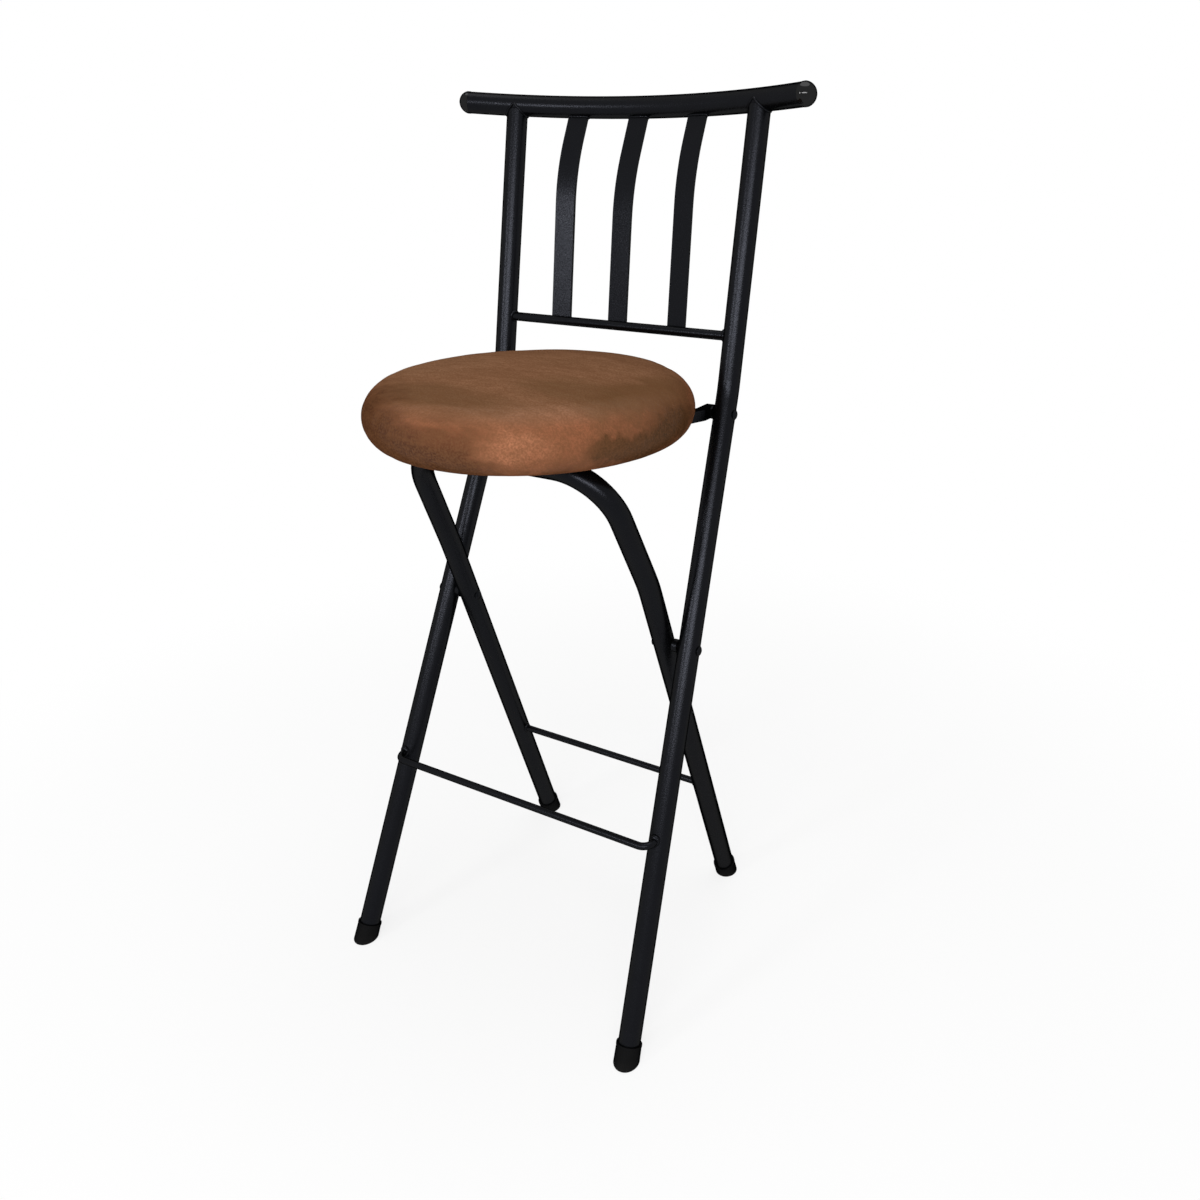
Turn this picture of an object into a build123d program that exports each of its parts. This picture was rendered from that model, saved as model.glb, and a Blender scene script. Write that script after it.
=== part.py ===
"""Folding bar stool with a backrest, each physical piece as its own solid, in millimetres.

+Z is up, the sitter faces -Y, and the origin is on the floor under the middle of the stool.
The front legs run up past the seat and carry the back. The rear legs are one bent tube whose top
run carries the front of the seat. Left and right are as seen by someone facing the stool.
"""

import os
from math import asin, atan, cos, hypot, radians, sin, sqrt, tan

from build123d import *

# Main tubes
tube_diameter = 25.4
tube_wall = 1.5

# Front legs with the back's uprights: foot on the floor, bend near the seat, top at the rail
front_foot_x = 198.0
front_foot_y = -191.0
upright_bend_x = 161.0
upright_bend_y = 118.0
upright_bend_rise = 25.0
upright_top_x = 165.0
upright_top_y = 181.0
upright_top_z = 1003.5
upright_bend_radius = 100.0

# Rear leg frame: feet, the bend half way up, and the top run under the seat
rear_foot_y = 145.0
rear_splay = 1.25
rear_bend_y = -31.4
rear_bend_drop = 142.05
rear_bend_radius = 260.0
rear_top_inset = 12.0
rear_top_y = -95.0
rear_top_radius = 65.0

# Ferrules on the four feet
ferrule_length = 20.0
ferrule_floor = 2.5
ferrule_wall = 1.6
ferrule_flare = 0.9
ferrule_rim_height = 2.5
ferrule_rim_step = 0.4
ferrule_round = 2.0
ferrule_clearance = 0.1

# Top rail, bowed backwards, with its domed end caps
overall_width = 475.0
rail_bow_radius = 650.0
rail_cap_lip = 0.25
rail_cap_skirt = 3.0
rail_cap_dome = 10.5
rail_cap_plug = 16.0
rail_cap_clearance = 0.35
rail_cope_gap = 0.1
rail_cope_drop = 6.0

# Back slats, with their leans from the uprights, and the bar that holds their lower ends
slat_count = 3
slat_spacing = 82.0
slat_width = 25.0
slat_thickness = 4.0
slat_lower_lean = -3.5
slat_upper_lean = 14.5
slat_bend_radius = 240.0
slat_bar_overlap = 1.0
back_bar_rise = 17.0
back_bar_diameter = 11.0

# Footrest rod in front of the front legs and stretcher rod between the rear legs
rod_diameter = 8.5
footrest_z = 231.0
footrest_reach = 28.0
footrest_bend_radius = 13.0
stretcher_leg_z = 181.0

# Pivots: rivets fixed in the front legs, running in the rear legs and the seat arms
rivet_diameter = 8.0
rivet_head_diameter = 11.5
rivet_head_height = 2.2
rivet_fixed_clearance = 0.03
rivet_running_clearance = 0.06
pivot_side_clearance = 0.5
spacer_diameter = 15.0
spacer_length = 6.3
seat_washer_thickness = 2.0
seat_washer_diameter = 16.0

# Square seat arms and the flat bar across them that lies on the rear frame's top run
arm_size = 12.7
arm_front_x = 62.0
arm_lug_reach = 16.0
arm_end_reach = 10.0
arm_groove_clearance = 0.5
rest_bar_width = 26.0
rest_bar_thickness = 4.0
rest_bar_overhang = 8.0
rest_clearance = 0.3

# Seat: plywood board, foam and fabric cover, whose lower roll hangs round the arms
seat_top_z = 737.0
seat_thickness = 60.65
seat_radius = 178.0
seat_back_gap = 18.3
seat_widest_rise = 10.85
seat_shoulder_radius = 38.0
seat_lower_radius = 27.0
cover_thickness = 1.4
cover_hem_width = 20.0
foam_clearance = 0.2
board_inset = 24.0
board_thickness = 12.0
board_round = 2.0

# Screws through the arms into the board
screw_diameter = 5.0
screw_head_diameter = 10.0
screw_head_height = 3.0
screw_bite = 9.0
screw_clearance = 0.1
screw_first_y = -70.0
screw_last_y = 10.0


def bent_rod(points, radii, diameter):
    """A round rod along straight runs joined by tangent arcs."""
    path = FilletPolyline(*points, radius=radii) if radii else Line(*points)
    section = Plane(origin=path @ 0, z_dir=path % 0) * Circle(diameter / 2)
    return sweep(section, path=path)


def mirrored(shape):
    """The same piece on the other side of the stool."""
    return mirror(shape, about=Plane.YZ)


def largest(shape):
    """The main solid of a cut piece."""
    return max(shape.solids(), key=lambda solid: solid.volume)


def cylinder_along_x(x_from, x_to, y, z, diameter):
    """A round bar across the stool between two X places."""
    plane = Plane(origin=(x_from, y, z), x_dir=(0, 1, 0), z_dir=(1, 0, 0))
    return plane * Cylinder(diameter / 2, x_to - x_from, align=(Align.CENTER, Align.CENTER, Align.MIN))


def at_height(low, high, z):
    """The point at a height on the straight line through two points."""
    return low + (high - low) * ((z - low.Z) / (high.Z - low.Z))


def tube_start(foot, direction):
    """Where a leaning leg's tube ends inside its ferrule, clear of the floor."""
    rise = ferrule_floor + tube_radius * sqrt(1 - direction.Z**2)
    return foot + direction * (rise / direction.Z)


tube_radius = tube_diameter / 2
tube_bore = tube_diameter - 2 * tube_wall

# Heights, downwards from the seat's crown to the rear frame's top run, and up to the back
arm_top = seat_top_z - seat_thickness
arm_bottom = arm_top - arm_size
rest_bar_bottom = arm_bottom - rest_bar_thickness
rear_top_z = rest_bar_bottom - rest_clearance - tube_radius
rear_bend_z = rear_top_z - rear_bend_drop
board_bottom = arm_top + cover_thickness
board_top = board_bottom + board_thickness
seat_pivot_z = arm_bottom + arm_size / 2
upright_bend_z = seat_pivot_z + upright_bend_rise
back_bar_z = seat_top_z + back_bar_rise

# Axis points of the right-hand front leg and upright
front_foot = Vector(front_foot_x, front_foot_y, 0)
upright_bend = Vector(upright_bend_x, upright_bend_y, upright_bend_z)
upright_top = Vector(upright_top_x, upright_top_y, upright_top_z)
leg_slope = (upright_bend.Y - front_foot.Y) / upright_bend.Z
back_lean = atan((upright_top.Y - upright_bend.Y) / (upright_top.Z - upright_bend.Z))

# Leg pivot where the front and rear legs cross in side view, seat pivot on the front leg
rear_slope = (rear_bend_y - rear_foot_y) / rear_bend_z
pivot_z = (rear_foot_y - front_foot.Y) / (leg_slope - rear_slope)
pivot_y = front_foot.Y + leg_slope * pivot_z
pivot_leg_x = at_height(front_foot, upright_bend, pivot_z).X
pivot_rear_x = pivot_leg_x - tube_diameter - 2 * pivot_side_clearance - spacer_length
seat_pivot = at_height(front_foot, upright_bend, seat_pivot_z)

# Axis points of the right-hand rear leg, which passes inside the front leg
rear_spread = tan(radians(rear_splay))
rear_foot = Vector(pivot_rear_x + rear_spread * pivot_z, rear_foot_y, 0)
rear_bend = Vector(pivot_rear_x - rear_spread * (rear_bend_z - pivot_z), rear_bend_y, rear_bend_z)
rear_top = Vector(rear_bend.X - rear_top_inset, rear_top_y, rear_top_z)


# Top rail: an arc in the plane square to the uprights
def rail_point(angle):
    """A point of the rail's axis, by its angle from the middle of the bow."""
    back = rail_bow_radius * (cos(angle) - cos(rail_joint_angle))
    return Vector(
        rail_bow_radius * sin(angle),
        upright_top.Y + back * cos(back_lean),
        upright_top.Z - back * sin(back_lean),
    )


def rail_tangent(angle):
    """The rail's direction towards the right-hand end."""
    return Vector(cos(angle), -sin(angle) * cos(back_lean), sin(angle) * sin(back_lean))


def rail_bar(angle_from, angle_to, radius):
    """A round bar along the rail's axis, with its seam on top."""
    path = ThreePointArc(rail_point(angle_from), rail_point((angle_from + angle_to) / 2), rail_point(angle_to))
    up = (0, sin(back_lean), cos(back_lean))
    return sweep(Plane(origin=path @ 0, x_dir=up, z_dir=path % 0) * Circle(radius), path=path)


rail_joint_angle = asin(upright_top.X / rail_bow_radius)
rail_cap_length = rail_cap_skirt + rail_cap_dome
rail_cap_radius = tube_radius + rail_cap_lip
dome_radius = (rail_cap_radius**2 + rail_cap_dome**2) / (2 * rail_cap_dome)
dome_centre = rail_cap_length - dome_radius
rail_end_angle = asin((overall_width / 2 - dome_radius) / hypot(rail_bow_radius, dome_centre)) - atan(
    dome_centre / rail_bow_radius
)
rail_outer = rail_bar(-rail_end_angle, rail_end_angle, tube_radius)
top_rail = rail_outer - rail_bar(-rail_end_angle, rail_end_angle, tube_bore / 2)
cope_reach = tube_diameter / rail_bow_radius
rail_cope = rail_bar(rail_joint_angle - cope_reach, rail_joint_angle + cope_reach, tube_radius + rail_cope_gap)


def rail_cap():
    """A domed plug with its axis on Z and the tube's end at zero."""
    plug_radius = tube_bore / 2 - rail_cap_clearance
    half = asin(rail_cap_radius / dome_radius) / 2
    rim = Polyline(
        (0, rail_cap_length),
        (0, -rail_cap_plug),
        (plug_radius, -rail_cap_plug),
        (plug_radius, 0),
        (rail_cap_radius, 0),
        (rail_cap_radius, rail_cap_skirt),
    )
    dome = ThreePointArc(
        (rail_cap_radius, rail_cap_skirt),
        (dome_radius * sin(half), dome_centre + dome_radius * cos(half)),
        (0, rail_cap_length),
    )
    return revolve(Plane.XZ * make_face([rim, dome]), axis=Axis.Z)


rail_cap_right = Plane(origin=rail_point(rail_end_angle), z_dir=rail_tangent(rail_end_angle)) * rail_cap()
rail_cap_left = mirrored(rail_cap_right)

# Uprights: hollow, coped to the rail, drilled for both rivets
leg_direction = (upright_bend - front_foot).normalized()
upright_end = upright_top - (upright_top - upright_bend).normalized() * rail_cope_drop
upright_route = [tube_start(front_foot, leg_direction), upright_bend, upright_end]
upright_outer = bent_rod(upright_route, upright_bend_radius, tube_diameter)
upright_bore = bent_rod(upright_route, upright_bend_radius, tube_bore)
drill_reach = 2 * tube_diameter
fixed_hole = rivet_diameter + 2 * rivet_fixed_clearance
running_hole = rivet_diameter + 2 * rivet_running_clearance
upright_right = largest(
    upright_outer
    - upright_bore
    - rail_cope
    - cylinder_along_x(pivot_leg_x - drill_reach, pivot_leg_x + drill_reach, pivot_y, pivot_z, fixed_hole)
    - cylinder_along_x(
        seat_pivot.X - tube_diameter, seat_pivot.X + tube_diameter, seat_pivot.Y, seat_pivot.Z, fixed_hole
    )
)
upright_left = mirrored(upright_right)
uprights_outer = [upright_outer, mirrored(upright_outer)]


# Ferrules
def ferrule(foot, direction):
    """A flared rubber cap on a leaning leg, cut level with the floor."""
    radius = tube_radius + ferrule_wall
    sink = tube_diameter
    along = Plane(origin=foot - direction * sink, z_dir=direction)
    low = (Align.CENTER, Align.CENTER, Align.MIN)
    height = ferrule_length / direction.Z + sink
    body = along * Cone(radius + ferrule_flare, radius, height, align=low)
    rim_plane = Plane(origin=foot + direction * (height - sink - ferrule_rim_height), z_dir=direction)
    body += rim_plane * Cylinder(radius + ferrule_rim_step, ferrule_rim_height, align=low)
    body -= Pos(foot.X, foot.Y, 0) * Box(
        4 * sink, 4 * sink, 4 * sink, align=(Align.CENTER, Align.CENTER, Align.MAX)
    )
    sole = body.faces().sort_by(Axis.Z)[0]
    body = fillet(sole.edges(), ferrule_round)
    seat_plane = Plane(origin=tube_start(foot, direction), z_dir=direction)
    body -= seat_plane * Cylinder(tube_radius + ferrule_clearance, height, align=low)
    return body


front_foot_right = ferrule(front_foot, leg_direction)
front_foot_left = mirrored(front_foot_right)
rear_direction = (rear_bend - rear_foot).normalized()
rear_foot_right = ferrule(rear_foot, rear_direction)
rear_foot_left = mirrored(rear_foot_right)

# Lower back bar between the uprights
back_bar_point = at_height(upright_bend, upright_top, back_bar_z)
back_lower_bar = cylinder_along_x(
    -back_bar_point.X, back_bar_point.X, back_bar_point.Y, back_bar_z, back_bar_diameter
)
for outer in uprights_outer:
    back_lower_bar -= outer
back_lower_bar = largest(back_lower_bar)


# Back slats: straight up from the bar, then bent back to meet the bowed rail
def slat(x):
    """One flat slat, turned to follow the rail's bow and cut to the rail and the bar."""
    angle = asin(x / rail_bow_radius)
    rail = rail_point(angle)
    lower_lean = back_lean + radians(slat_lower_lean)
    upper_lean = back_lean + radians(slat_upper_lean)
    lower_slope = tan(lower_lean)
    upper_slope = tan(upper_lean)
    start_z = back_bar_z - back_bar_diameter / 2
    start_y = back_bar_point.Y + (back_bar_diameter + slat_thickness) / 2 - slat_bar_overlap
    corner_z = (start_y - rail.Y + upper_slope * rail.Z - lower_slope * start_z) / (upper_slope - lower_slope)
    corner_y = start_y + lower_slope * (corner_z - start_z)
    lower_normal = Vector(cos(lower_lean), -sin(lower_lean))
    upper_normal = Vector(cos(upper_lean), -sin(upper_lean))
    corner_normal = (lower_normal + upper_normal) * (1 / (1 + lower_normal.dot(upper_normal)))
    sides = []
    for side in (-1, 1):
        shift = side * slat_thickness / 2
        route = [
            Vector(start_y, start_z) + lower_normal * shift,
            Vector(corner_y, corner_z) + corner_normal * shift,
            Vector(rail.Y, rail.Z) + upper_normal * shift,
        ]
        sides.append(FilletPolyline(*route, radius=slat_bend_radius + shift))
    front, back = sides
    band = make_face([front, Line(front @ 1, back @ 1), back, Line(back @ 0, front @ 0)])
    turn = Vector(cos(angle), -sin(angle) * cos(back_lean), 0).normalized()
    blank = extrude(Plane.YZ * band, amount=slat_width / 2, dir=turn, both=True)
    return largest(Pos(x, 0, 0) * blank - rail_outer - back_lower_bar)


slat_places = [(index - (slat_count - 1) / 2) * slat_spacing for index in range(slat_count)]
slats = [slat(x) for x in slat_places]

# Footrest rod: across in front of both legs, its ends bent straight back onto them
footrest_leg = at_height(front_foot, upright_bend, footrest_z)
footrest_half = [
    Vector(footrest_leg.X, footrest_leg.Y - footrest_reach, footrest_z),
    footrest_leg,
]
footrest_route = [Vector(-p.X, p.Y, p.Z) for p in footrest_half[::-1]] + footrest_half
front_footrest = bent_rod(footrest_route, footrest_bend_radius, rod_diameter)
for outer in uprights_outer:
    front_footrest -= outer
front_footrest = largest(front_footrest)

# Rear leg frame: one tube from foot to foot over the top run, drilled for the leg rivets
rear_half = [tube_start(rear_foot, rear_direction), rear_bend, rear_top]
rear_route = [Vector(-p.X, p.Y, p.Z) for p in rear_half] + rear_half[::-1]
rear_radii = [rear_bend_radius, rear_top_radius, rear_top_radius, rear_bend_radius]
rear_outer = bent_rod(rear_route, rear_radii, tube_diameter)
rear_leg_frame = rear_outer - bent_rod(rear_route, rear_radii, tube_bore)
for side in (-1, 1):
    hole_x = side * pivot_rear_x
    rear_leg_frame -= cylinder_along_x(
        hole_x - tube_diameter, hole_x + tube_diameter, pivot_y, pivot_z, running_hole
    )
rear_leg_frame = largest(rear_leg_frame)

stretcher_point = at_height(rear_foot, rear_bend, stretcher_leg_z)
rear_stretcher = largest(
    cylinder_along_x(-stretcher_point.X, stretcher_point.X, stretcher_point.Y, stretcher_leg_z, rod_diameter)
    - rear_outer
)


# Pivot hardware on the right-hand side, mirrored for the left
def rivet(x_inner, x_outer, y, z):
    """A rivet along X with a domed head outside each of the two places."""
    head_radius = rivet_head_diameter / 2
    dome_radius = (head_radius**2 + rivet_head_height**2) / (2 * rivet_head_height)
    half = asin(head_radius / dome_radius) / 2
    crown = rivet_head_height - dome_radius * (1 - cos(half))
    length = x_outer - x_inner
    outline = [
        ThreePointArc(
            (0, -rivet_head_height), (dome_radius * sin(half), -crown), (head_radius, 0)
        ),
        Polyline(
            (head_radius, 0),
            (rivet_diameter / 2, 0),
            (rivet_diameter / 2, length),
            (head_radius, length),
        ),
        ThreePointArc(
            (head_radius, length),
            (dome_radius * sin(half), length + crown),
            (0, length + rivet_head_height),
        ),
        Line((0, length + rivet_head_height), (0, -rivet_head_height)),
    ]
    body = revolve(Plane.XZ * make_face(outline), axis=Axis.Z)
    return Plane(origin=(x_inner, y, z), x_dir=(0, 1, 0), z_dir=(1, 0, 0)) * body


def sleeve(x_inner, x_outer, y, z, diameter):
    """A ring along X round a rivet."""
    return cylinder_along_x(x_inner, x_outer, y, z, diameter) - cylinder_along_x(
        x_inner, x_outer, y, z, fixed_hole
    )


def pair(shape):
    """The right-hand piece and its mirror image as one group."""
    return Compound([shape, mirrored(shape)])


leg_rivets = pair(
    rivet(
        pivot_rear_x - tube_radius - pivot_side_clearance,
        pivot_leg_x + tube_radius + pivot_side_clearance,
        pivot_y,
        pivot_z,
    )
)
leg_spacers = pair(
    sleeve(
        pivot_rear_x + tube_radius + pivot_side_clearance,
        pivot_leg_x - tube_radius - pivot_side_clearance,
        pivot_y,
        pivot_z,
        spacer_diameter,
    )
)
washer_outer_x = seat_pivot.X - tube_radius - pivot_side_clearance
washer_inner_x = washer_outer_x - seat_washer_thickness
arm_outer_x = washer_inner_x - rest_clearance
arm_inner_x = arm_outer_x - arm_size
seat_rivets = pair(
    rivet(
        arm_inner_x - rest_clearance,
        seat_pivot.X + tube_radius + pivot_side_clearance,
        seat_pivot.Y,
        seat_pivot.Z,
    )
)
seat_washers = pair(sleeve(washer_inner_x, washer_outer_x, seat_pivot.Y, seat_pivot.Z, seat_washer_diameter))


# Seat arms: level square bars that open towards the back and end beside the uprights
arm_front = Vector(arm_front_x, rear_top_y - rest_bar_width / 2)
arm_bend = Vector(arm_inner_x + arm_size / 2, seat_pivot.Y - arm_lug_reach)
arm_end = Vector(arm_bend.X, seat_pivot.Y + arm_end_reach)


def arm_block(width, bottom, top):
    """A block between two heights along the right-hand arm's run."""
    runs = [Line(arm_front, arm_bend), Line(arm_bend, arm_end)]
    plan = Sketch() + [trace(run, line_width=width) for run in runs]
    plan += Pos(arm_bend.X, arm_bend.Y) * Circle(width / 2)
    return extrude(Pos(0, 0, bottom) * plan, amount=top - bottom)


arm_run = (arm_bend.X - arm_front.X) / (arm_bend.Y - arm_front.Y)
screw_places = [(arm_front.X + arm_run * (y - arm_front.Y), y) for y in (screw_first_y, screw_last_y)]
screw_length = arm_size + cover_thickness + screw_bite


def screw_hole(x, y):
    """The hole that a screw passes, from below the arm into the board."""
    hole = Cylinder(
        screw_diameter / 2 + screw_clearance, screw_length, align=(Align.CENTER, Align.CENTER, Align.MIN)
    )
    return Pos(x, y, arm_bottom) * hole


def screw(x, y):
    """A pan-head screw driven upwards."""
    low = (Align.CENTER, Align.CENTER, Align.MIN)
    high = (Align.CENTER, Align.CENTER, Align.MAX)
    shank = Cylinder(screw_diameter / 2, screw_length - screw_clearance, align=low)
    head = Cylinder(screw_head_diameter / 2, screw_head_height, align=high)
    head = fillet(head.edges().sort_by(Axis.Z)[0], screw_head_height / 3)
    return Pos(x, y, arm_bottom) * (shank + head)


seat_arm_right = arm_block(arm_size, arm_bottom, arm_top) - cylinder_along_x(
    arm_inner_x - arm_size, arm_outer_x + arm_size, seat_pivot.Y, seat_pivot.Z, running_hole
)
for place in screw_places:
    seat_arm_right -= screw_hole(*place)
seat_arm_left = mirrored(seat_arm_right)
all_screws = [(side * x, y) for side in (-1, 1) for x, y in screw_places]
seat_screws = Compound([screw(*place) for place in all_screws])

rest_bar_x = arm_front.X + arm_run * (rear_top_y - arm_front.Y) + rest_bar_overhang
seat_rest_bar = Pos(0, rear_top_y, rest_bar_bottom) * Box(
    2 * rest_bar_x, rest_bar_width, rest_bar_thickness, align=(Align.CENTER, Align.CENTER, Align.MIN)
)

# Seat board, with the seat's edge clear of the arms' pivots
seat_centre_y = seat_pivot.Y - sqrt((seat_radius + seat_back_gap) ** 2 - arm_inner_x**2)
board_radius = seat_radius - board_inset
seat_board = Pos(0, seat_centre_y, board_bottom) * Cylinder(
    board_radius, board_thickness, align=(Align.CENTER, Align.CENTER, Align.MIN)
)
seat_board = fillet(seat_board.edges().group_by(Axis.Z)[-1], board_round)
for place in all_screws:
    seat_board -= screw_hole(*place)

# Seat cover and foam: a domed crown, full shoulders and a lower roll that turns up to the board
seat_widest_z = arm_top + seat_widest_rise
seat_widest_drop = seat_top_z - seat_widest_z
shoulder_centre = Vector(seat_radius - seat_shoulder_radius, seat_widest_z)
crown_radius = (shoulder_centre.X**2 + seat_widest_drop**2 - seat_shoulder_radius**2) / (
    2 * (seat_widest_drop - seat_shoulder_radius)
)
crown_centre = Vector(0, seat_top_z - crown_radius)
crown_angle = asin(shoulder_centre.X / (crown_radius - seat_shoulder_radius))
lower_centre = Vector(seat_radius - seat_lower_radius, seat_widest_z)
seat_lowest_z = seat_widest_z - seat_lower_radius


def polar(centre, radius, angle):
    """A point on a circle, by its angle up from the outward direction."""
    return Vector(centre.X + radius * cos(angle), centre.Y + radius * sin(angle))


def seat_profile(inset, floor):
    """The seat's half outline from the crown to a level floor, set in by a thickness."""
    upright = radians(90)
    crown = crown_radius - inset
    shoulder = seat_shoulder_radius - inset
    lower = seat_lower_radius - inset
    turn = upright - crown_angle
    lower_turn = radians(180) - asin((seat_widest_z - floor) / lower)
    return [
        ThreePointArc(
            polar(crown_centre, crown, upright),
            polar(crown_centre, crown, upright - crown_angle / 2),
            polar(crown_centre, crown, turn),
        ),
        ThreePointArc(
            polar(shoulder_centre, shoulder, turn),
            polar(shoulder_centre, shoulder, turn / 2),
            polar(shoulder_centre, shoulder, 0),
        ),
        ThreePointArc(
            polar(lower_centre, lower, 0),
            polar(lower_centre, lower, -lower_turn / 2),
            polar(lower_centre, lower, -lower_turn),
        ),
    ]


def seat_solid(inset, floor):
    """The seat's filled form, set in by a thickness and cut at a level floor."""
    outline = seat_profile(inset, floor)
    start = outline[0] @ 0
    end = outline[-1] @ 1
    closing = Polyline(end, (0, floor), start)
    form = revolve(Plane.XZ * make_face([*outline, closing]), axis=Axis.Z)
    return Pos(0, seat_centre_y, 0) * form


def disc(radius, bottom, top):
    """A level round block under the seat's middle."""
    block = Cylinder(radius, top - bottom, align=(Align.CENTER, Align.CENTER, Align.MIN))
    return Pos(0, seat_centre_y, bottom) * block


def arm_grooves(top):
    """The grooves that both arms press into the seat's lower roll, up to a height."""
    groove = arm_block(arm_size + 2 * arm_groove_clearance, seat_lowest_z - arm_groove_clearance, top)
    return [groove, mirrored(groove)]


seat_recess_radius = (seat_profile(0, arm_top)[-1] @ 1).X
cover_hem_radius = seat_recess_radius - cover_hem_width
seat_cover = seat_solid(0, arm_top) - seat_solid(cover_thickness, board_bottom)
seat_cover -= disc(cover_hem_radius, arm_top, board_bottom)
for groove in arm_grooves(arm_top):
    seat_cover -= groove
for place in all_screws:
    seat_cover -= screw_hole(*place)
seat_cover = largest(seat_cover)
seat_foam = seat_solid(cover_thickness + foam_clearance, board_bottom + foam_clearance) - disc(
    board_radius + foam_clearance, board_bottom - foam_clearance, board_top + foam_clearance
)
for groove in arm_grooves(board_bottom):
    seat_foam -= groove
seat_foam = largest(seat_foam)

nodes = {
    "upright_left": upright_left,
    "upright_right": upright_right,
    "top_rail": top_rail,
    "rail_cap_left": rail_cap_left,
    "rail_cap_right": rail_cap_right,
    "back_lower_bar": back_lower_bar,
    "front_footrest": front_footrest,
    "front_foot_left": front_foot_left,
    "front_foot_right": front_foot_right,
    "leg_rivets": leg_rivets,
    "leg_spacers": leg_spacers,
    "seat_rivets": seat_rivets,
    "seat_washers": seat_washers,
    "rear_leg_frame": rear_leg_frame,
    "rear_stretcher": rear_stretcher,
    "rear_foot_left": rear_foot_left,
    "rear_foot_right": rear_foot_right,
    "seat_arm_left": seat_arm_left,
    "seat_arm_right": seat_arm_right,
    "seat_rest_bar": seat_rest_bar,
    "seat_screws": seat_screws,
    "seat_board": seat_board,
    "seat_foam": seat_foam,
    "seat_cover": seat_cover,
}
for index, solid in enumerate(slats, start=1):
    nodes[f"back_slat_{index}"] = solid

os.makedirs("parts", exist_ok=True)
for name, shape in nodes.items():
    export_step(shape, f"parts/{name}.step")
print(f"leg pivot y {pivot_y:.3f} z {pivot_z:.3f}")
print(f"seat pivot y {seat_pivot.Y:.3f} z {seat_pivot.Z:.3f}")
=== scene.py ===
"""Looks of the folding bar stool: finishes, the padded seat, weld beads, studio light and camera.

Everything is in metres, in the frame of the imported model. +Z is up and the sitter faces -Y.
"""

import logging
import math
from dataclasses import dataclass, field
from enum import Enum

import bmesh
import bpy
from mathutils import Matrix, Vector, noise


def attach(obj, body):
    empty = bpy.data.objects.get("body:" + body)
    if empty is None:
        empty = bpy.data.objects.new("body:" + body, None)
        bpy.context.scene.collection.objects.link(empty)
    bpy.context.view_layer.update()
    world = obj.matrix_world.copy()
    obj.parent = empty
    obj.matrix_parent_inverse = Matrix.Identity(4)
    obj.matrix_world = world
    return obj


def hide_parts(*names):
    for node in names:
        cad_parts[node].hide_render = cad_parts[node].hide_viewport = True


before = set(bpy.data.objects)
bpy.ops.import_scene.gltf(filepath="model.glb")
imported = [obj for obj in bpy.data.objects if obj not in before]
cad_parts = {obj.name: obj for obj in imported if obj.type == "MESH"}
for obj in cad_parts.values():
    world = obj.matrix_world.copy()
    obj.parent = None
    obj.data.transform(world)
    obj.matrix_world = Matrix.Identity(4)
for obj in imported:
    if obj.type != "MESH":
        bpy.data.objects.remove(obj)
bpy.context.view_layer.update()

log = logging.getLogger("stool")


class Body(Enum):
    """The rigid bodies that the pieces ride on."""

    BACK = "back_frame"
    REAR = "rear_legs"
    SEAT = "seat"


class Slot(Enum):
    """The record's material slots."""

    STEEL = "black_steel"
    CAP = "gloss_black_cap"
    RUBBER = "black_rubber"
    PLYWOOD = "plywood"
    SUEDE = "brown_microsuede"


Colour = tuple[float, float, float]
Place = tuple[float, float, float]

MERGE = 1e-6


class Graph:
    """A short way to place and link shader nodes in one tree."""

    def __init__(self, tree: bpy.types.NodeTree) -> None:
        """Keeps the tree that the nodes go into.

        Args:
            tree: The node tree of a material, world or group.
        """
        self.tree = tree

    def node(self, kind: str, links: dict | None = None, **settings: object) -> bpy.types.Node:
        """Adds a node, sets its properties and fills its inputs.

        Args:
            kind: The node's type name.
            links: Input names or places, each with an output socket or a plain value.
            settings: Properties of the node itself.

        Returns:
            The new node.
        """
        made = self.tree.nodes.new(kind)
        for name, value in settings.items():
            setattr(made, name, value)
        for key, value in (links or {}).items():
            if isinstance(value, bpy.types.NodeSocket):
                self.tree.links.new(value, made.inputs[key])
            else:
                made.inputs[key].default_value = value
        return made

    def math(
        self, operation: str, first: object, second: object = 0.0, third: object = 0.0
    ) -> bpy.types.NodeSocket:
        """Adds a Math node and returns its value."""
        links = {0: first, 1: second, 2: third}
        return self.node("ShaderNodeMath", links, operation=operation).outputs[0]

    def vector(
        self, operation: str, first: object, second: object = (0.0, 0.0, 0.0)
    ) -> bpy.types.NodeOutputs:
        """Adds a Vector Math node and returns its outputs."""
        return self.node("ShaderNodeVectorMath", {0: first, 1: second}, operation=operation).outputs

    def mix(self, factor: object, low: object, high: object) -> bpy.types.NodeSocket:
        """Adds a colour mix.

        Args:
            factor: Share of the second colour.
            low: First colour.
            high: Second colour.

        Returns:
            The mixed colour.
        """
        made = self.node("ShaderNodeMix", {0: factor, 6: low, 7: high}, data_type="RGBA")
        return made.outputs[2]

    def ramp(
        self, value: object, low: object, high: object, to_low: float, to_high: float
    ) -> bpy.types.NodeSocket:
        """Maps a value from one range to another, held at its ends.

        Args:
            value: The value to map.
            low: Start of its range.
            high: End of its range.
            to_low: Result at the start.
            to_high: Result at the end.

        Returns:
            The mapped value.
        """
        made = self.node("ShaderNodeMapRange", {0: value, 1: low, 2: high, 3: to_low, 4: to_high})
        made.interpolation_type = "SMOOTHSTEP"
        return made.outputs[0]


def rgba(colour: Colour) -> tuple[float, float, float, float]:
    """The colour with full opacity."""
    return (*colour, 1.0)


class GroupKind(Enum):
    """Shared surface effects, each one shader node group."""

    GRAIN = "fine_grain"
    MOTTLE = "slow_mottle"
    NAP = "brushed_nap"
    MARK = "nap_and_painted_light_mark"


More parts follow.
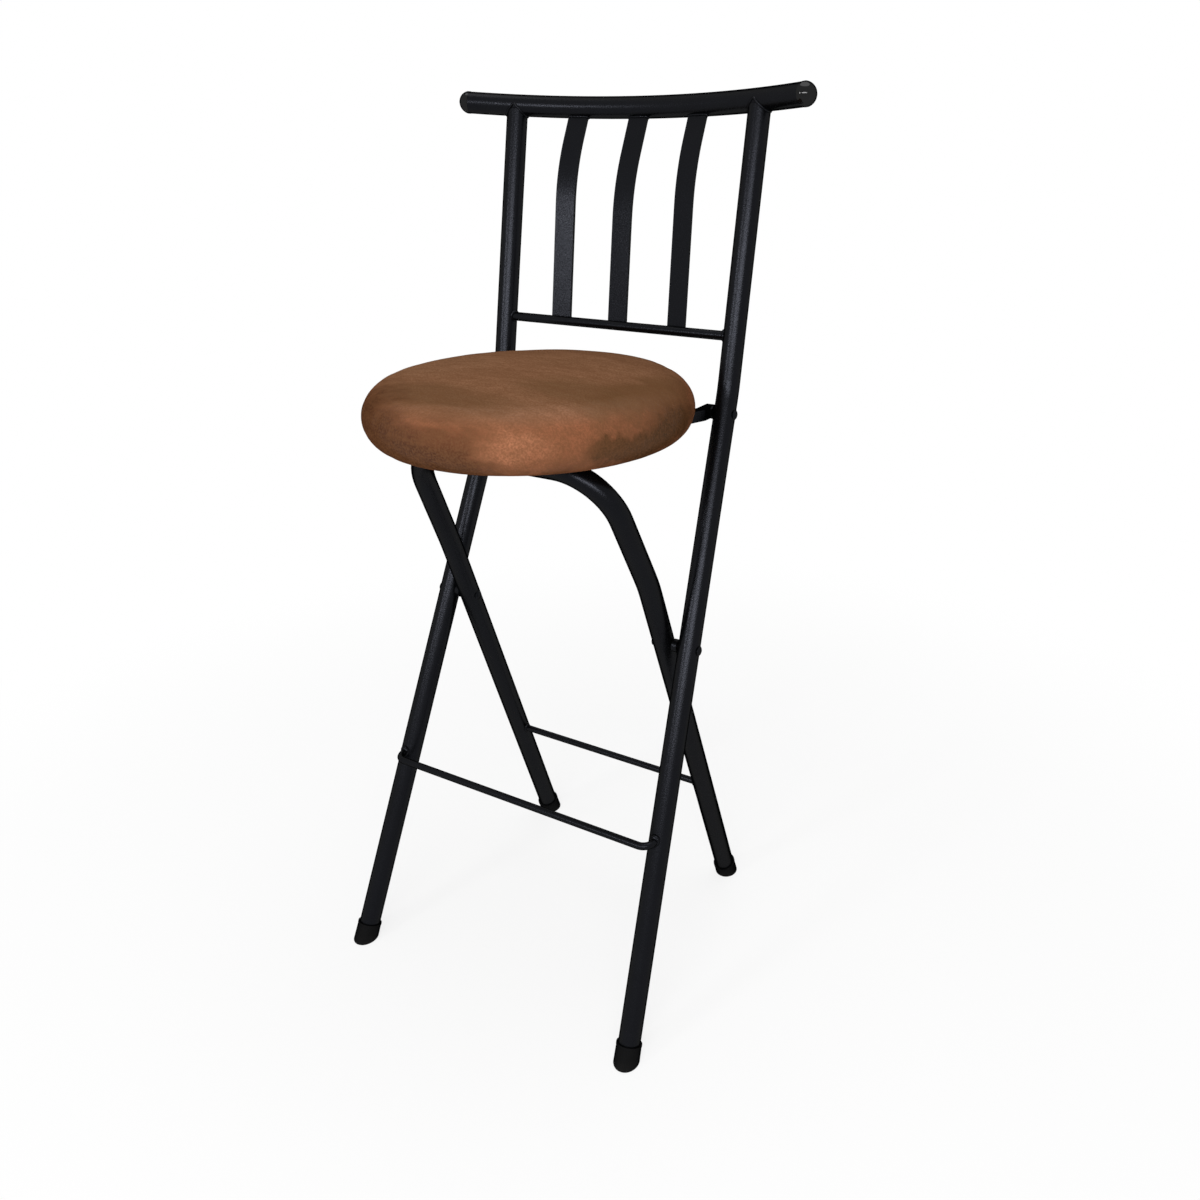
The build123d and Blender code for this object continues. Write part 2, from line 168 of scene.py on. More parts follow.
class Groups:
    """Builds each shared node group once."""

    @staticmethod
    def _empty(
        name: str, inputs: dict[str, object], outputs: list[str]
    ) -> tuple[Graph, bpy.types.Node, bpy.types.Node]:
        """Makes a group with a vector input, further inputs and value outputs.

        Args:
            name: The group's name.
            inputs: Number or vector inputs with their defaults.
            outputs: Names of the value outputs.

        Returns:
            The graph, its input node and its output node.
        """
        tree = bpy.data.node_groups.new(name, "ShaderNodeTree")
        tree.interface.new_socket("Vector", in_out="INPUT", socket_type="NodeSocketVector")
        for key, value in inputs.items():
            kind = "NodeSocketFloat" if isinstance(value, float) else "NodeSocketVector"
            socket = tree.interface.new_socket(key, in_out="INPUT", socket_type=kind)
            socket.default_value = value
        for key in outputs:
            tree.interface.new_socket(key, in_out="OUTPUT", socket_type="NodeSocketFloat")
        graph = Graph(tree)
        return graph, graph.node("NodeGroupInput"), graph.node("NodeGroupOutput")

    @classmethod
    def grain(cls) -> bpy.types.NodeTree:
        """Fine even grain, as on a powder coat or moulded rubber.

        Returns:
            The group, with a height and a mask.
        """
        graph, given, made = cls._empty(GroupKind.GRAIN.value, {"Size": 0.001}, ["Height", "Mask"])
        place = given.outputs["Vector"]
        scale = graph.math("DIVIDE", 1.0, given.outputs["Size"])
        fine = graph.node(
            "ShaderNodeTexNoise", {"Vector": place, "Scale": scale, "Detail": 3.0, "Roughness": 0.55}
        )
        cells = graph.node("ShaderNodeTexVoronoi", {"Vector": place, "Scale": scale})
        both = graph.math("ADD", fine.outputs[0], graph.math("MULTIPLY", cells.outputs["Distance"], 0.35))
        graph.tree.links.new(both, made.inputs["Height"])
        graph.tree.links.new(graph.ramp(fine.outputs[0], 0.35, 0.65, 0.0, 1.0), made.inputs["Mask"])
        return graph.tree

    @classmethod
    def mottle(cls) -> bpy.types.NodeTree:
        """Slow clouds for the unevenness of a finish.

        Returns:
            The group, with a mask.
        """
        graph, given, made = cls._empty(GroupKind.MOTTLE.value, {"Size": 0.05, "Spread": 0.2}, ["Mask"])
        scale = graph.math("DIVIDE", 1.0, given.outputs["Size"])
        cloud = graph.node(
            "ShaderNodeTexNoise",
            {
                "Vector": given.outputs["Vector"],
                "Scale": scale,
                "Detail": 4.0,
                "Roughness": 0.6,
                "Distortion": 0.4,
            },
        )
        low = graph.math("SUBTRACT", 0.5, given.outputs["Spread"])
        high = graph.math("ADD", 0.5, given.outputs["Spread"])
        graph.tree.links.new(graph.ramp(cloud.outputs[0], low, high, 0.0, 1.0), made.inputs["Mask"])
        return graph.tree

    @classmethod
    def nap(cls) -> bpy.types.NodeTree:
        """Brushed patches, longer across the seat than along it.

        Returns:
            The group, with a mask of wide patches and one of fine streaks.
        """
        sizes = {"Size": 0.06, "Stretch": 2.6}
        graph, given, made = cls._empty(GroupKind.NAP.value, sizes, ["Patch", "Streak"])
        shrink = graph.math("DIVIDE", 1.0, given.outputs["Stretch"])
        squeeze = graph.node("ShaderNodeCombineXYZ", {0: shrink, 1: 1.0, 2: 1.0}).outputs[0]
        drawn = graph.vector("MULTIPLY", given.outputs["Vector"], squeeze)[0]
        scale = graph.math("DIVIDE", 1.0, given.outputs["Size"])
        finer = graph.math("MULTIPLY", scale, 7.0)
        patch = graph.node(
            "ShaderNodeTexNoise",
            {"Vector": drawn, "Scale": scale, "Detail": 3.0, "Roughness": 0.5, "Distortion": 0.9},
        )
        streak = graph.node(
            "ShaderNodeTexNoise", {"Vector": drawn, "Scale": finer, "Detail": 4.0, "Roughness": 0.65}
        )
        graph.tree.links.new(graph.ramp(patch.outputs[0], 0.4, 0.6, 0.0, 1.0), made.inputs["Patch"])
        graph.tree.links.new(graph.ramp(streak.outputs[0], 0.32, 0.68, 0.0, 1.0), made.inputs["Streak"])
        return graph.tree

    @classmethod
    def mark(cls) -> bpy.types.NodeTree:
        """One soft patch with a ragged edge, used for places where a hand has turned the nap and also for
        painted shade and a painted highlight.

        Returns:
            The group, with a mask.
        """
        sizes = {"Centre": (0.0, 0.0, 0.0), "Reach": (0.05, 0.05, 0.05), "Ragged": 0.055, "Core": 0.4}
        graph, given, made = cls._empty(GroupKind.MARK.value, sizes, ["Mask"])
        place = given.outputs["Vector"]
        drawn = graph.vector("MULTIPLY", place, (0.4, 1.5, 1.2))[0]
        cloud = graph.node(
            "ShaderNodeTexNoise", {"Vector": drawn, "Scale": 30.0, "Detail": 6.0, "Roughness": 0.68}
        )
        middle = graph.vector("SUBTRACT", cloud.outputs[1], (0.5, 0.5, 0.5))[0]
        shift = graph.node(
            "ShaderNodeVectorMath", {0: middle, "Scale": given.outputs["Ragged"]}, operation="SCALE"
        )
        moved = graph.vector("ADD", place, shift.outputs[0])[0]
        away = graph.vector("SUBTRACT", moved, given.outputs["Centre"])[0]
        share = graph.vector("DIVIDE", away, given.outputs["Reach"])[0]
        length = graph.vector("LENGTH", share)["Value"]
        graph.tree.links.new(graph.ramp(length, given.outputs["Core"], 1.0, 1.0, 0.0), made.inputs["Mask"])
        return graph.tree

    @classmethod
    def get(cls, kind: GroupKind) -> bpy.types.NodeTree:
        """Finds a group, or makes it on first use.

        Args:
            kind: Which effect.

        Returns:
            The group.
        """
        found = bpy.data.node_groups.get(kind.value)
        if found:
            return found
        makers = {
            GroupKind.GRAIN: cls.grain,
            GroupKind.MOTTLE: cls.mottle,
            GroupKind.NAP: cls.nap,
            GroupKind.MARK: cls.mark,
        }
        return makers[kind]()


class Surface:
    """A material under construction: its graph, object coordinates and Principled shader."""

    RIM: tuple[float, float] = (0.1, 0.65)

    def __init__(self, name: str) -> None:
        """Starts an empty material.

        Args:
            name: The material's name.
        """
        self.material = bpy.data.materials.new(name)
        self.material.use_nodes = True
        self.material.node_tree.nodes.clear()
        self.graph = Graph(self.material.node_tree)
        self.place = self.graph.node("ShaderNodeTexCoord").outputs["Object"]
        self.shader = self.graph.node("ShaderNodeBsdfPrincipled")
        self.graph.node("ShaderNodeOutputMaterial", {"Surface": self.shader.outputs[0]})

    def group(self, kind: GroupKind, **values: object) -> bpy.types.Node:
        """Places a shared effect with its own values.

        Args:
            kind: Which effect.
            values: Its number and vector inputs.

        Returns:
            The group node.
        """
        made = self.graph.node("ShaderNodeGroup", node_tree=Groups.get(kind))
        self.graph.tree.links.new(self.place, made.inputs["Vector"])
        for key, value in values.items():
            made.inputs[key].default_value = value
        return made

    def set(self, **values: object) -> None:
        """Fills the shader's inputs.

        Args:
            values: Sockets or plain values by input, with underscores for the spaces in the names.
        """
        for key, value in values.items():
            socket = self.shader.inputs[key.replace("_", " ")]
            if isinstance(value, bpy.types.NodeSocket):
                self.graph.tree.links.new(value, socket)
            else:
                socket.default_value = value

    def gloss(self, level: float) -> bpy.types.NodeSocket:
        """A reflection level that falls off at the rims, which would mirror nothing but white background.

        Args:
            level: The level where the surface faces the viewer.

        Returns:
            The level over the surface.
        """
        facing = self.graph.node("ShaderNodeLayerWeight", {"Blend": 0.5}).outputs["Facing"]
        return self.graph.ramp(facing, *self.RIM, level, 0.0)

    def bump(self, height: bpy.types.NodeSocket, strength: float, distance: float) -> None:
        """Links a height to the shader's normal.

        Args:
            height: The height that changes over the surface.
            strength: Share of the bump.
            distance: Its depth in metres.
        """
        links = {"Height": height, "Strength": strength, "Distance": distance}
        self.set(Normal=self.graph.node("ShaderNodeBump", links).outputs[0])


@dataclass(frozen=True)
class PowderCoat:
    """Satin black powder coat on steel."""

    name: str = "satin_black_steel"
    dark: Colour = (0.0010, 0.0010, 0.0012)
    light: Colour = (0.0020, 0.0021, 0.0025)
    tint: Colour = (0.79, 0.83, 1.0)
    gloss: float = 0.12
    roughness: tuple[float, float] = (0.22, 0.30)
    grain: float = 0.0011
    cloud: float = 0.06
    cloud_spread: float = 0.22
    cloud_share: float = 0.7
    cloud_least: float = 0.1
    relief: tuple[float, float] = (0.35, 0.0003)

    def build(self) -> bpy.types.Material:
        """Makes the material.

        Returns:
            The material.
        """
        made = Surface(self.name)
        grain = made.group(GroupKind.GRAIN, Size=self.grain)
        cloud = made.group(GroupKind.MOTTLE, Size=self.cloud, Spread=self.cloud_spread)
        shade = made.graph.math(
            "MULTIPLY_ADD", cloud.outputs["Mask"], self.cloud_share, self.cloud_least
        )
        made.set(
            Base_Color=made.graph.mix(shade, rgba(self.dark), rgba(self.light)),
            Roughness=made.graph.ramp(grain.outputs["Mask"], 0.0, 1.0, *self.roughness),
            Specular_IOR_Level=made.gloss(self.gloss),
            Specular_Tint=rgba(self.tint),
        )
        made.bump(grain.outputs["Height"], *self.relief)
        return made.material


@dataclass(frozen=True)
class GlossPlastic:
    """Glossy black moulded plastic of the rail's end caps."""

    name: str = "gloss_black_plastic"
    dark: Colour = (0.0014, 0.0014, 0.0016)
    light: Colour = (0.0026, 0.0026, 0.0029)
    gloss: float = 0.2
    roughness: tuple[float, float] = (0.05, 0.07)
    grain: float = 0.003
    cloud: float = 0.012
    cloud_spread: float = 0.25
    relief: tuple[float, float] = (0.015, 0.0002)

    def build(self) -> bpy.types.Material:
        """Makes the material.

        Returns:
            The material.
        """
        made = Surface(self.name)
        cloud = made.group(GroupKind.MOTTLE, Size=self.cloud, Spread=self.cloud_spread)
        grain = made.group(GroupKind.GRAIN, Size=self.grain)
        made.set(
            Base_Color=made.graph.mix(cloud.outputs["Mask"], rgba(self.dark), rgba(self.light)),
            Roughness=made.graph.ramp(cloud.outputs["Mask"], 0.0, 1.0, *self.roughness),
            Specular_IOR_Level=made.gloss(self.gloss),
        )
        made.bump(grain.outputs["Height"], *self.relief)
        return made.material


@dataclass(frozen=True)
class Rubber:
    """Matte black rubber of the ferrules, scuffed a little towards the floor."""

    name: str = "matte_black_rubber"
    dark: Colour = (0.0024, 0.0024, 0.0026)
    dusty: Colour = (0.0085, 0.0083, 0.0080)
    scuff_height: float = 0.014
    scuff_above: float = 0.15
    gloss: float = 0.05
    roughness: tuple[float, float] = (0.62, 0.78)
    grain: float = 0.0007
    cloud: float = 0.008
    cloud_spread: float = 0.2
    relief: tuple[float, float] = (0.3, 0.0003)

    def build(self) -> bpy.types.Material:
        """Makes the material.

        Returns:
            The material.
        """
        made = Surface(self.name)
        grain = made.group(GroupKind.GRAIN, Size=self.grain)
        cloud = made.group(GroupKind.MOTTLE, Size=self.cloud, Spread=self.cloud_spread)
        height = made.graph.node("ShaderNodeSeparateXYZ", {0: made.place}).outputs[2]
        low = made.graph.ramp(height, 0.0, self.scuff_height, 1.0, self.scuff_above)
        dust = made.graph.math("MULTIPLY", low, cloud.outputs["Mask"])
        made.set(
            Base_Color=made.graph.mix(dust, rgba(self.dark), rgba(self.dusty)),
            Roughness=made.graph.ramp(cloud.outputs["Mask"], 0.0, 1.0, *self.roughness),
            Specular_IOR_Level=made.gloss(self.gloss),
        )
        made.bump(grain.outputs["Height"], *self.relief)
        return made.material


@dataclass(frozen=True)
class Plywood:
    """Plain plywood of the seat board, with its grain along Y."""

    name: str = "plain_plywood"
    pale: Colour = (0.52, 0.38, 0.23)
    dark: Colour = (0.34, 0.21, 0.11)
    ring: float = 0.006
    drawn_out: float = 0.12
    wander: float = 7.0
    ring_share: float = 0.55
    cloud_share: float = 0.35
    roughness: tuple[float, float] = (0.6, 0.75)
    grain: float = 0.0015
    cloud: float = 0.09
    cloud_spread: float = 0.2
    relief: tuple[float, float] = (0.2, 0.0003)

    def build(self) -> bpy.types.Material:
        """Makes the material.

        Returns:
            The material.
        """
        made = Surface(self.name)
        graph = made.graph
        along = graph.node("ShaderNodeMapping", {"Vector": made.place, "Scale": (1.0, self.drawn_out, 1.0)})
        rings = graph.node(
            "ShaderNodeTexWave",
            {
                "Vector": along.outputs[0],
                "Scale": 1.0 / self.ring / 6.0,
                "Distortion": self.wander,
                "Detail": 3.0,
                "Detail Scale": 1.4,
            },
        )
        grain = made.group(GroupKind.GRAIN, Size=self.grain)
        cloud = made.group(GroupKind.MOTTLE, Size=self.cloud, Spread=self.cloud_spread)
        clouded = graph.math("MULTIPLY", cloud.outputs["Mask"], self.cloud_share)
        tone = graph.math("MULTIPLY_ADD", rings.outputs[1], self.ring_share, clouded)
        made.set(
            Base_Color=graph.mix(tone, rgba(self.pale), rgba(self.dark)),
            Roughness=graph.ramp(rings.outputs[1], 0.0, 1.0, *self.roughness),
        )
        made.bump(grain.outputs["Height"], *self.relief)
        return made.material


@dataclass(frozen=True)
class NapAndPaintedLightMark:
    """A soft patch of colour on the seat. On the crown it is where the nap lies another way; on the sides and
    lower roll it is painted shade, and on the front a painted highlight.
    """

    centre: Place
    reach: Place
    colour: Colour
    share: float
    core: float = 0.4


@dataclass(frozen=True)
class Microsuede:
    """Brown brushed microsuede: matte on the crown, redder down the sides, darker where the nap is turned;
    painted shade on the sides and lower roll, a painted highlight on the front.
    """

    name: str = "brown_brushed_suede"
    crown: Colour = (0.225, 0.110, 0.059)
    side: Colour = (0.235, 0.085, 0.041)
    turned: Colour = (0.122, 0.054, 0.024)
    # deep is the colour of the painted shade towards the bottom of the lower roll.
    deep: Colour = (0.045, 0.018, 0.008)
    tint: Colour = (1.0, 0.50, 0.30)
    crown_z: float = 0.727
    side_z: float = 0.708
    shaded_z: tuple[float, float] = (0.664, 0.684)
    fibre: float = 0.0021
    nap: float = 0.055
    nap_stretch: float = 3.2
    cloud: float = 0.05
    cloud_spread: float = 0.15
    brushed: float = 0.28
    streaked: float = 0.4
    shaded: float = 0.8
    speckled: float = 0.55
    gloss: float = 0.2
    roughness: tuple[float, float] = (0.5, 0.62)
    relief: tuple[float, float] = (0.5, 0.0009)
    nap_and_painted_light_marks: tuple[NapAndPaintedLightMark, ...] = (
        NapAndPaintedLightMark((-0.015, -0.162, 0.727), (0.150, 0.040, 0.034), (0.104, 0.056, 0.026), 0.62, 0.25),
        NapAndPaintedLightMark((0.100, -0.095, 0.731), (0.095, 0.050, 0.030), (0.120, 0.064, 0.029), 0.65, 0.4),
        NapAndPaintedLightMark((-0.100, -0.060, 0.727), (0.090, 0.065, 0.030), (0.250, 0.128, 0.070), 0.65, 0.6),
        NapAndPaintedLightMark((0.020, 0.010, 0.736), (0.120, 0.045, 0.030), (0.230, 0.115, 0.061), 0.6),
        # Painted shade down the right side and its lower rim, which are turned away from the lamps.
        NapAndPaintedLightMark((0.145, -0.040, 0.720), (0.05, 0.11, 0.025), (0.110, 0.055, 0.023), 0.75),
        NapAndPaintedLightMark((0.165, -0.095, 0.683), (0.045, 0.075, 0.022), (0.040, 0.021, 0.007), 0.88, 0.55),
        NapAndPaintedLightMark((0.178, -0.030, 0.690), (0.035, 0.065, 0.032), (0.040, 0.019, 0.006), 0.88),
        # Painted shade along the front of the lower roll, where it turns in under the board.
        NapAndPaintedLightMark((0.010, -0.210, 0.690), (0.090, 0.060, 0.034), (0.070, 0.024, 0.010), 0.88, 0.45),
        NapAndPaintedLightMark((-0.005, -0.210, 0.676), (0.110, 0.060, 0.024), (0.040, 0.014, 0.006), 0.92),
        # Painted shade on the lower left of the front.
        NapAndPaintedLightMark((-0.090, -0.175, 0.692), (0.130, 0.095, 0.044), (0.042, 0.015, 0.007), 0.93, 0.45),
        # Painted highlight on the front of the seat.
        NapAndPaintedLightMark((0.094, -0.186, 0.694), (0.055, 0.045, 0.021), (0.350, 0.142, 0.074), 0.7, 0.2),
    )

    def build(self) -> bpy.types.Material:
        """Makes the material.

        Returns:
            The material.
        """
        made = Surface(self.name)
        graph = made.graph
        nap = made.group(GroupKind.NAP, Size=self.nap, Stretch=self.nap_stretch)
        cloud = made.group(GroupKind.MOTTLE, Size=self.cloud, Spread=self.cloud_spread)
        grain = made.group(GroupKind.GRAIN, Size=self.fibre)
        height = graph.node("ShaderNodeSeparateXYZ", {0: made.place}).outputs[2]
        upper = graph.ramp(height, self.side_z, self.crown_z, 0.0, 1.0)
        tone = graph.mix(upper, rgba(self.side), rgba(self.crown))
        brushed = graph.math("MULTIPLY", nap.outputs["Patch"], self.brushed)
        tone = graph.mix(brushed, tone, rgba(self.turned))
        # Nap patches on the crown, painted shade on the sides and lower roll, and a painted highlight on the
        # front.
        for mark in self.nap_and_painted_light_marks:
            mask = made.group(GroupKind.MARK, Centre=mark.centre, Reach=mark.reach, Core=mark.core)
            share = graph.math("MULTIPLY", mask.outputs["Mask"], mark.share)
            tone = graph.mix(share, tone, rgba(mark.colour))
        streaks = graph.math("MULTIPLY", nap.outputs["Streak"], self.streaked)
        tone = graph.mix(streaks, tone, rgba(self.turned))
        # Painted shade: darker towards the bottom of the lower roll, broken up by the slow clouds.
        lower = graph.ramp(height, *self.shaded_z, self.shaded, 0.0)
        tone = graph.mix(graph.math("MULTIPLY", lower, cloud.outputs["Mask"]), tone, rgba(self.deep))
        speckle = graph.math("MULTIPLY", grain.outputs["Mask"], self.speckled)
        made.set(
            Base_Color=graph.mix(speckle, tone, rgba(self.turned)),
            Roughness=graph.ramp(nap.outputs["Streak"], 0.0, 1.0, *self.roughness),
            Specular_IOR_Level=made.gloss(self.gloss),
            Specular_Tint=rgba(self.tint),
        )
        made.bump(grain.outputs["Height"], *self.relief)
        return made.material


def sweep_ring(mesh: bmesh.types.BMesh, frames: list[Matrix], radius: float, sides: int) -> None:
    """Sweeps a round ring through frames by extruding its edges, and joins the last ring to the first.

    Args:
        mesh: The mesh that the sweep is added to.
        frames: Places of the ring, each with Z along the path.
        radius: The ring's radius.
        sides: Its number of edges.
    """
    start = bmesh.ops.create_circle(mesh, cap_ends=False, radius=radius, segments=sides, matrix=frames[0])
    first = list(dict.fromkeys(edge for vertex in start["verts"] for edge in vertex.link_edges))
    edges = first
    for before, after in zip(frames, frames[1:]):
        made = bmesh.ops.extrude_edge_only(mesh, edges=edges)["geom"]
        moved = [item for item in made if isinstance(item, bmesh.types.BMVert)]
        bmesh.ops.transform(mesh, matrix=after @ before.inverted(), verts=moved)
        inside = set(moved)
        edges = [
            item for item in made if isinstance(item, bmesh.types.BMEdge) and inside.issuperset(item.verts)
        ]
    bmesh.ops.bridge_loops(mesh, edges=first + edges)


def path_frames(points: list[Vector], scales: list[float]) -> list[Matrix]:
    """Frames along a path that returns to its start, with Z on its tangent.

    Args:
        points: The path's points.
        scales: Size of the section at each point.

    Returns:
        One matrix for each point.
    """
    count = len(points)
    frames = []
    side = None
    for index, point in enumerate(points):
        before = points[index - 1]
        after = points[(index + 1) % count]
        along = (after - before).normalized()
        if side is None:
            side = along.orthogonal().normalized()
        side = (side - along * side.dot(along)).normalized()
        turn = Matrix((side, along.cross(side), along)).transposed().to_4x4()
        frames.append(Matrix.Translation(point) @ turn @ Matrix.Scale(scales[index], 4))
    return frames


def new_piece(name: str, mesh: bmesh.types.BMesh, body: Body) -> bpy.types.Object:
    """Turns a bmesh into a piece that rides on a body.

    Args:
        name: The piece's name.
        mesh: Its finished mesh, freed here.
        body: The body it rides on.

    Returns:
        The new object.
    """
    data = bpy.data.meshes.new(name)
    bmesh.ops.remove_doubles(mesh, verts=mesh.verts, dist=MERGE)
    bmesh.ops.recalc_face_normals(mesh, faces=mesh.faces)
    mesh.to_mesh(data)
    mesh.free()
    for polygon in data.polygons:
        polygon.use_smooth = True
    made = bpy.data.objects.new(name, data)
    bpy.context.scene.collection.objects.link(made)
    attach(made, body.value)
    return made


@dataclass
class SeatCushion:
    """Round padded seat: crowned top, full shoulder, sides drawn in under the board."""

    centre: Vector = field(default_factory=lambda: Vector((0.0, -0.03645, 0.0)))
    radius: float = 0.178
    crown_z: float = 0.737
    floor_z: float = 0.67635
    widest_rise: float = 0.01085
    shoulder: float = 0.038
    lower: float = 0.027
    hem_width: float = 0.020
    arm_front: Vector = field(default_factory=lambda: Vector((0.062, -0.108, 0.0)))
    arm_bend: Vector = field(default_factory=lambda: Vector((0.14045, 0.0909, 0.0)))
    arm_half: float = 0.0085
    arm_gap: float = 0.0006
    cloth: float = 0.0012
    swell: float = 0.003
    voxel: float = 0.005
    arc_steps: tuple[int, int, int] = (20, 8, 18)
    turn_steps: int = 96
    turn_merge: float = 1e-5
    pressure: float = 4.0
    cloth_mass: float = 0.25
    stretch: float = 12.0
    bending: float = 0.6
    quality: int = 6
    frames: int = 20
    uneven: float = 0.0009
    uneven_scale: float = 14.0
    tucks: int = 17
    tuck_depth: float = 0.0024
    tuck_rise: float = 0.35
    tuck_reach: float = 0.6
    tuck_sway: float = 2.2
    sway_layer: float = 3.7
    sway_scale: float = 1.6
    tuck_mean: float = 0.55
    tuck_spread: float = 0.9
    spread_scale: float = 1.3
    spread_layer: tuple[float, float] = (0.4, 1.9)

    @property
    def widest_z(self) -> float:
        """Height at which the seat is widest."""
        return self.floor_z + self.widest_rise

    @property
    def lower_turn(self) -> float:
        """How far the lower roll turns before it meets the board."""
        return math.pi - math.asin(self.widest_rise / self.lower)

    @property
    def recess(self) -> float:
        """Radius at which the lower roll meets the board."""
        return self.radius - self.lower + self.lower * math.cos(self.lower_turn)

    def profile(self, mesh: bmesh.types.BMesh) -> None:
        """Draws the half outline from the crown to the middle of the floor, by turning one vertex.

        Args:
            mesh: The empty mesh it goes into.
        """
        widest = self.widest_z
        reach = self.radius - self.shoulder
        drop = self.crown_z - widest
        crown = (reach**2 + drop**2 - self.shoulder**2) / (2 * (drop - self.shoulder))
        crown_turn = math.asin(reach / (crown - self.shoulder))
        origin = Vector((0.0, self.centre.y, 0.0))
        tip = mesh.verts.new(origin + Vector((0.0, 0.0, self.crown_z)))
        arcs = [
            (Vector((0.0, 0.0, self.crown_z - crown)), crown_turn),
            (Vector((reach, 0.0, widest)), math.pi / 2 - crown_turn),
            (Vector((self.radius - self.lower, 0.0, widest)), self.lower_turn),
        ]
        for (centre, angle), steps in zip(arcs, self.arc_steps):
            turned = bmesh.ops.spin(
                mesh, geom=[tip], cent=origin + centre, axis=(0.0, 1.0, 0.0), angle=angle, steps=steps
            )
            tip = next(item for item in turned["geom_last"] if isinstance(item, bmesh.types.BMVert))
        middle = bmesh.ops.extrude_vert_indiv(mesh, verts=[tip])["verts"][0]
        middle.co = origin + Vector((0.0, 0.0, self.floor_z))

    def form(self) -> bpy.types.Object:
        """The closed form of the seat as a voxel mesh.

        Returns:
            A loose object with the even mesh.
        """
        mesh = bmesh.new()
        self.profile(mesh)
        bmesh.ops.spin(
            mesh,
            geom=list(mesh.verts) + list(mesh.edges),
            cent=self.centre,
            axis=(0.0, 0.0, 1.0),
            angle=math.tau,
            steps=self.turn_steps,
            use_merge=True,
        )
        bmesh.ops.remove_doubles(mesh, verts=mesh.verts, dist=self.turn_merge)
        bmesh.ops.recalc_face_normals(mesh, faces=mesh.faces)
        data = bpy.data.meshes.new("seat_form")
        mesh.to_mesh(data)
        mesh.free()
        made = bpy.data.objects.new("seat_form", data)
        bpy.context.scene.collection.objects.link(made)
        remesh = made.modifiers.new("even", "REMESH")
        remesh.mode = "VOXEL"
        remesh.voxel_size = self.voxel
        self.settle(made)
        return made

    @staticmethod
    def settle(piece: bpy.types.Object) -> None:
        """Replaces an object's mesh by what its modifiers make of it.

        Args:
            piece: The object, which is changed.
        """
        graph = bpy.context.evaluated_depsgraph_get()
        data = bpy.data.meshes.new_from_object(piece.evaluated_get(graph))
        piece.modifiers.clear()
        piece.data = data

    def inflate(self, piece: bpy.types.Object) -> None:
        """Swells the cover under pressure as cloth, held flat where it lies under the board.

        Args:
            piece: The even mesh, which is changed.
        """
        start = [vertex.co.copy() for vertex in piece.data.vertices]
        held = piece.vertex_groups.new(name="held")
        inner = self.recess + self.swell
        held.add([i for i, co in enumerate(start) if self.under(co, inner)], 1.0, "REPLACE")
        cloth = piece.modifiers.new("cloth", "CLOTH")
        cloth.settings.quality = self.quality
        cloth.settings.mass = self.cloth_mass
        cloth.settings.tension_stiffness = self.stretch
        cloth.settings.compression_stiffness = self.stretch
        cloth.settings.bending_stiffness = self.bending
        cloth.settings.use_pressure = True
        cloth.settings.uniform_pressure_force = self.pressure
        cloth.settings.vertex_group_mass = held.name
        cloth.settings.effector_weights.gravity = 0.0
        cloth.collision_settings.use_collision = False
        scene = bpy.context.scene
        for step in range(1, self.frames + 1):
            scene.frame_set(step)
        self.settle(piece)
        scene.frame_set(1)
        piece.vertex_groups.clear()
        for vertex, before in zip(piece.data.vertices, start):
            move = vertex.co - before
            if move.length > self.swell:
                vertex.co = before + move * (self.swell / move.length)
        self.fit(piece, inner)

    def fit(self, piece: bpy.types.Object, inner: float) -> None:
        """Brings the swollen cover back to the seat's own width and heights.

        Args:
            piece: The swollen mesh, which is changed.
            inner: Radius within which the cover stays flat under the board.
        """
        free = [vertex for vertex in piece.data.vertices if not self.under(vertex.co, inner)]
        wide = self.radius / max((vertex.co - self.centre).xy.length for vertex in free)
        rise = (self.crown_z - self.widest_z) / (max(vertex.co.z for vertex in free) - self.widest_z)
        sag = self.lower / (self.widest_z - min(vertex.co.z for vertex in free))
        for vertex in free:
            above = vertex.co.z - self.widest_z
            out = (vertex.co - self.centre) * wide
            height = self.widest_z + above * (rise if above > 0.0 else sag)
            vertex.co = Vector((out.x, self.centre.y + out.y, height))

    def under(self, place: Vector, radius: float) -> bool:
        """Whether a place lies under the board, within a radius."""
        return place.z < self.widest_z and (place - self.centre).xy.length < radius

    def press(self, place: Vector) -> Vector:
        """Lifts a place of the lower roll onto an arm that crosses it.

        Args:
            place: A point of the cover.

        Returns:
            The point, moved up where an arm passes.
        """
        if place.z > self.floor_z or place.y < self.arm_front.y:
            return place
        run = (self.arm_bend - self.arm_front).normalized()
        from_front = Vector((abs(place.x), place.y, 0.0)) - self.arm_front
        beside = abs(from_front.cross(run).z)
        share = min(1.0, max(0.0, 2.0 - beside / self.arm_half))
        lift = share * share * (3.0 - 2.0 * share)
        return Vector((place.x, place.y, place.z + (self.floor_z + self.arm_gap - place.z) * lift))

